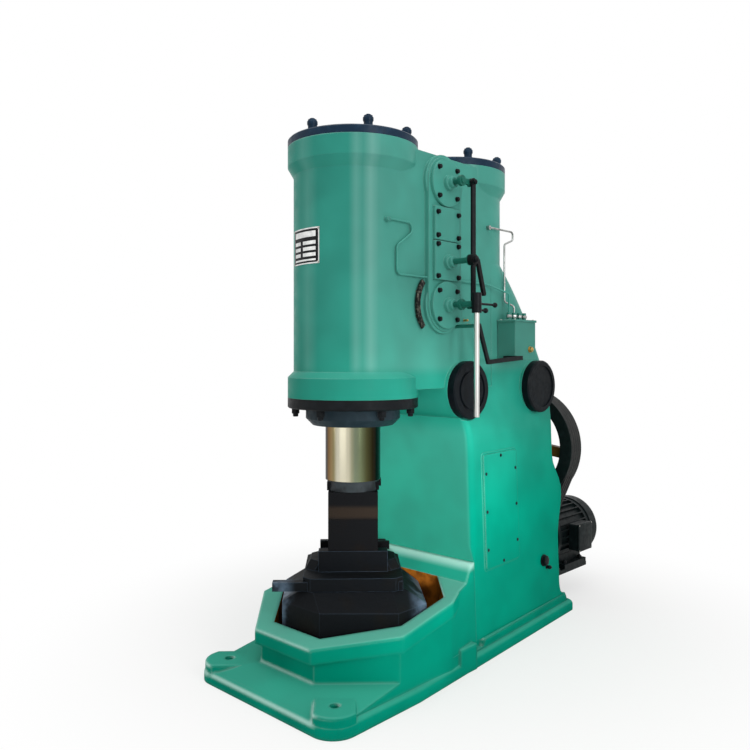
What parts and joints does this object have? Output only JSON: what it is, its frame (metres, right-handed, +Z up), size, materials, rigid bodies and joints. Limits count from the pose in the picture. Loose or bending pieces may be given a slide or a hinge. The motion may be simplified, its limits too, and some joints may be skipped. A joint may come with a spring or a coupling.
{
  "type": "pneumatic forging hammer",
  "caption": "Self-contained air forging hammer: C-shaped cast frame with twin cylinders, a ram over an anvil in its own well, side valve gear with a hanging handle, and a rear flywheel.",
  "frame": {"origin": "on the axis of the ram, at floor level", "axes": "+Z up along the ram, -Y towards the front where the smith stands, +X towards the valve gear"},
  "size_m": [0.986, 2.715, 2.532],
  "materials": {
    "green_paint": "gloss green paint on castings",
    "navy_paint": "gloss navy-black paint",
    "black_paint": "black paint, worn",
    "anvil_iron": "dark cast iron, rough",
    "die_steel": "dark forged steel, ground",
    "polished_steel": "ground and polished steel",
    "bright_steel": "bright turned steel",
    "belt_rubber": "matt black belt",
    "pipe_metal": "bare pipe"
  },
  "bodies": {
    "frame": {"base_casting": "green_paint", "frame_casting": "green_paint", "working_cylinder_cover": "navy_paint", "compressor_cover": "navy_paint", "gland_ring": "navy_paint", "rod_gland": "black_paint", "lower_die": "die_steel", "lower_die_key": "die_steel", "anvil_block": "anvil_iron", "anvil_cap": "anvil_iron", "anvil_cap_wedge": "anvil_iron", "upper_valve_cover": "green_paint", "lower_valve_cover": "green_paint", "upper_chest_plate": "green_paint", "middle_valve_cover": "green_paint", "quadrant": "black_paint", "lubricator": "green_paint", "lubricator_link": "black_paint", "front_oil_pipe": "green_paint", "chest_oil_pipe": "pipe_metal", "rear_oil_pipe": "pipe_metal", "right_front_cap": "navy_paint", "right_rear_cap": "navy_paint", "left_front_cap": "navy_paint", "left_rear_cap": "navy_paint", "right_access_panel": "green_paint", "left_access_panel": "green_paint", "motor_bracket": "black_paint", "motor_body": "black_paint", "motor_fan_cover": "black_paint", "motor_terminal_box": "black_paint", "motor_pulley": "black_paint", "drive_belts": "belt_rubber"},
    "ram": {"ram_rod": "polished_steel", "upper_die": "die_steel", "upper_die_key": "die_steel"},
    "crank": {"crankshaft": "bright_steel", "flywheel": "black_paint"},
    "lower_valve": {"lower_valve_arm": "black_paint", "handle_socket": "black_paint", "operating_handle": "bright_steel", "handle_knobs": "black_paint"},
    "link": {"valve_link_bar": "black_paint"},
    "upper_valve": {"upper_valve_arm": "black_paint"},
    "middle_valve": {"middle_valve_lever": "black_paint"}
  },
  "joints": [
    {"name": "ram_slide", "type": "slide", "parent": "frame", "child": "ram", "axis": [0, 0, 1], "range_m": [0, 0.26]},
    {"name": "flywheel_spin", "type": "hinge", "parent": "frame", "child": "crank", "pos_m": [0, 1.54, 0.946], "axis": [0, 1, 0], "continuous": true},
    {"name": "handle_turn", "type": "hinge", "parent": "frame", "child": "lower_valve", "pos_m": [0.45, 0.324, 1.74526], "axis": [1, 0, 0], "range_deg": [-30, 30]},
    {"name": "link_pivot", "type": "hinge", "parent": "lower_valve", "child": "link", "pos_m": [0.425, 0.39, 1.74526], "axis": [1, 0, 0], "range_deg": [-31, 31]},
    {"name": "upper_valve_turn", "type": "hinge", "parent": "frame", "child": "upper_valve", "pos_m": [0.4, 0.324, 2.33442], "axis": [1, 0, 0], "range_deg": [-31, 31]},
    {"name": "middle_lever_turn", "type": "hinge", "parent": "frame", "child": "middle_valve", "pos_m": [0.45, 0.324, 1.9529], "axis": [1, 0, 0], "range_deg": [-20, 25]}
  ],
  "couplings": [
    {"joint": "link_pivot", "follows": "handle_turn", "ratio": -1},
    {"joint": "upper_valve_turn", "follows": "handle_turn", "ratio": 1}
  ]
}
